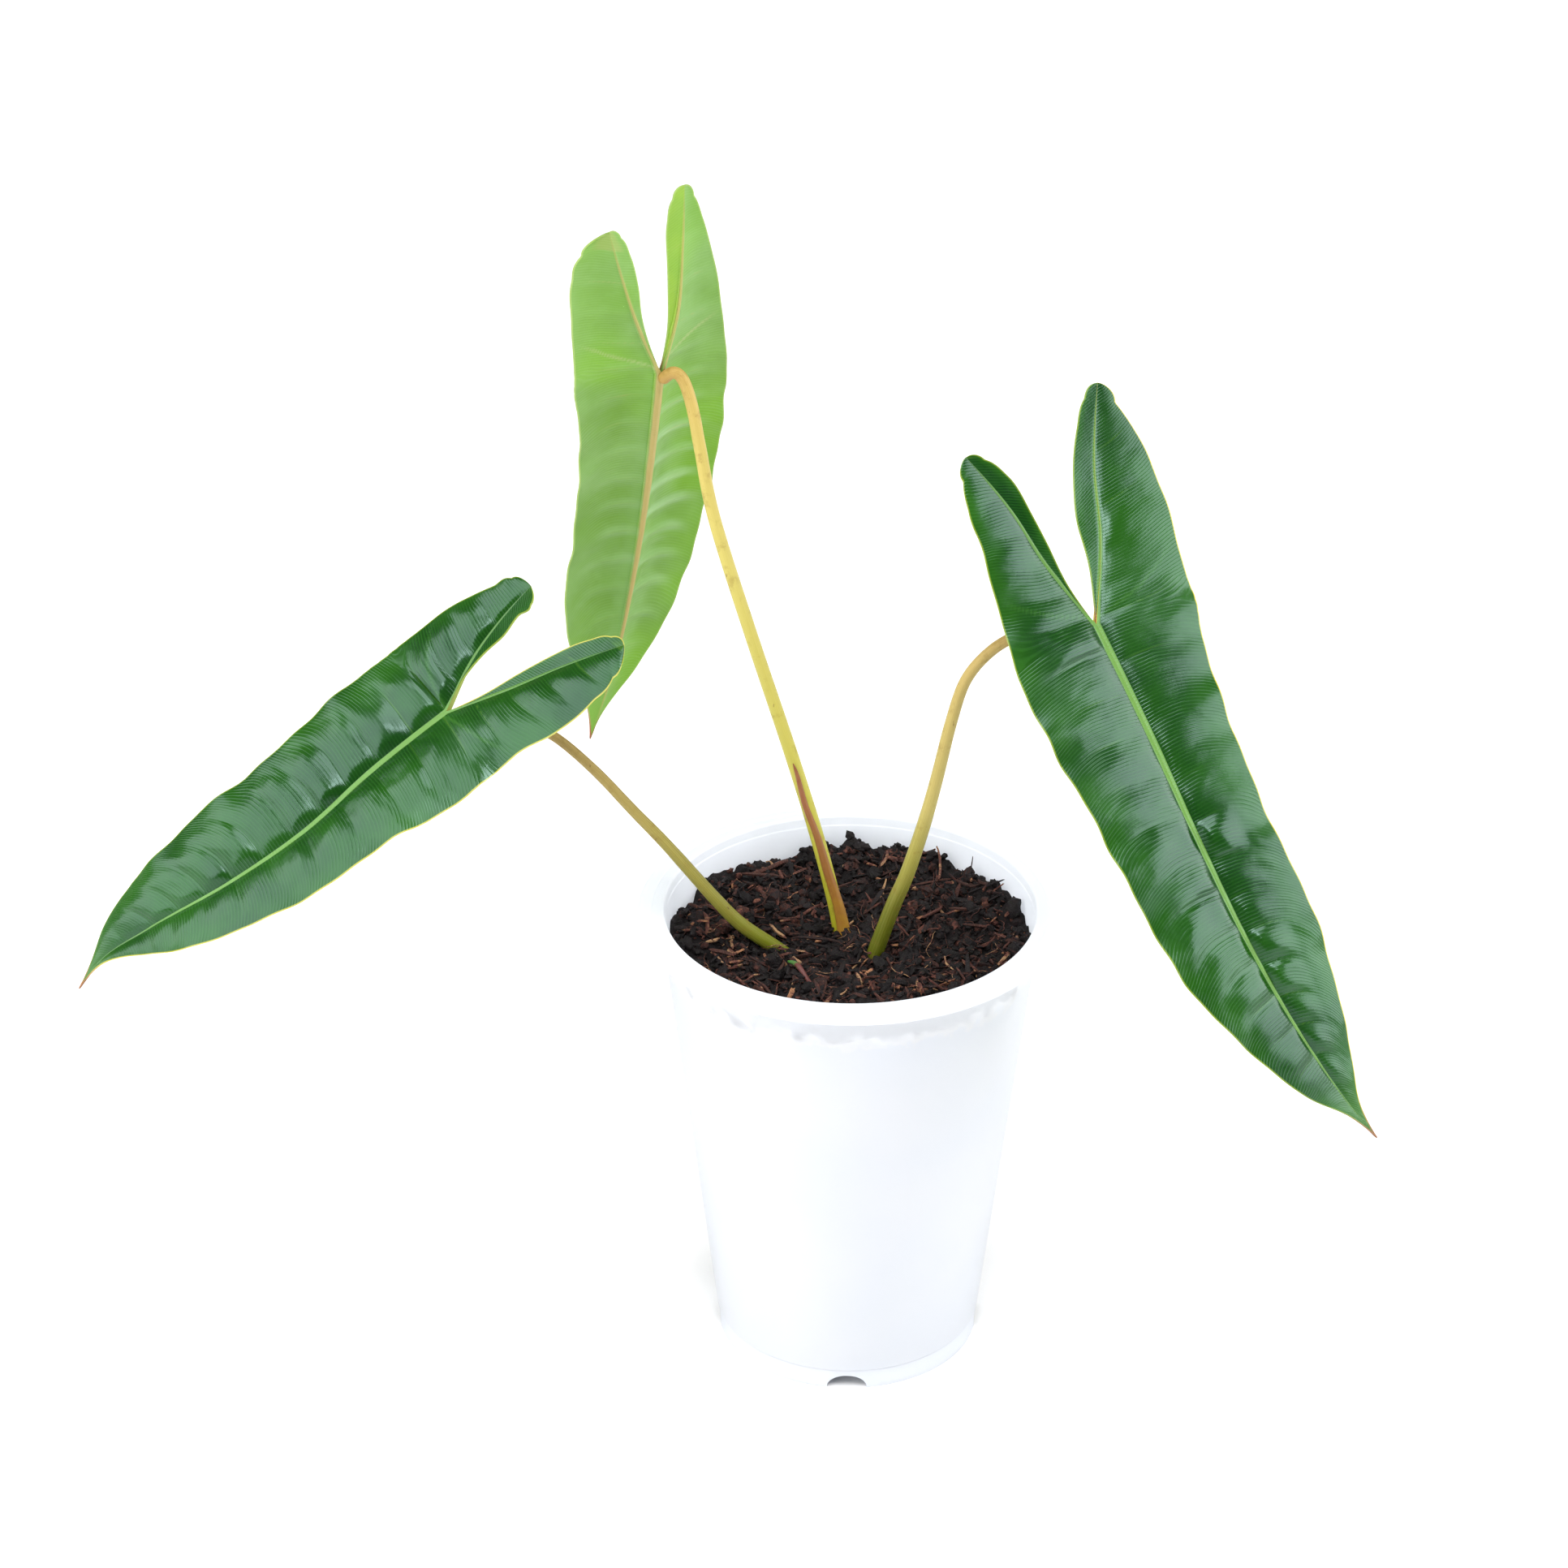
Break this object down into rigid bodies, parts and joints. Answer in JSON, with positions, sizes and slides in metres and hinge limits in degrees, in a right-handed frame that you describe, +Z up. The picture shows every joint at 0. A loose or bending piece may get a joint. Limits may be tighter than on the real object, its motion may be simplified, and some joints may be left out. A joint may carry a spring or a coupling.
{
  "type": "potted philodendron billietiae",
  "caption": "Young aroid house plant with long narrow arrow-shaped leaves on orange-tinged petioles, in bark mix in a plain white nursery pot.",
  "frame": {"origin": "centre of the pot's foot, on the plane that the pot stands on", "axes": "+Z up; the leaves are laid out as seen from -Y, with +X to the right"},
  "size_m": [0.4209, 0.1659, 0.4042],
  "materials": {
    "pot_plastic": "satin",
    "bark_mix": "matte",
    "crown": "matte",
    "petiole": "satin",
    "blade": "satin",
    "new_leaf": "satin",
    "sprout": "satin"
  },
  "bodies": {
    "root": {"pot": "pot_plastic", "soil": "bark_mix", "crown": "crown", "petiole_left": "petiole", "petiole_right": "petiole", "petiole_back": "petiole", "blade_left": "blade", "blade_right": "blade", "blade_back": "blade", "new_leaf": "new_leaf", "sprout": "sprout"}
  },
  "joints": []
}
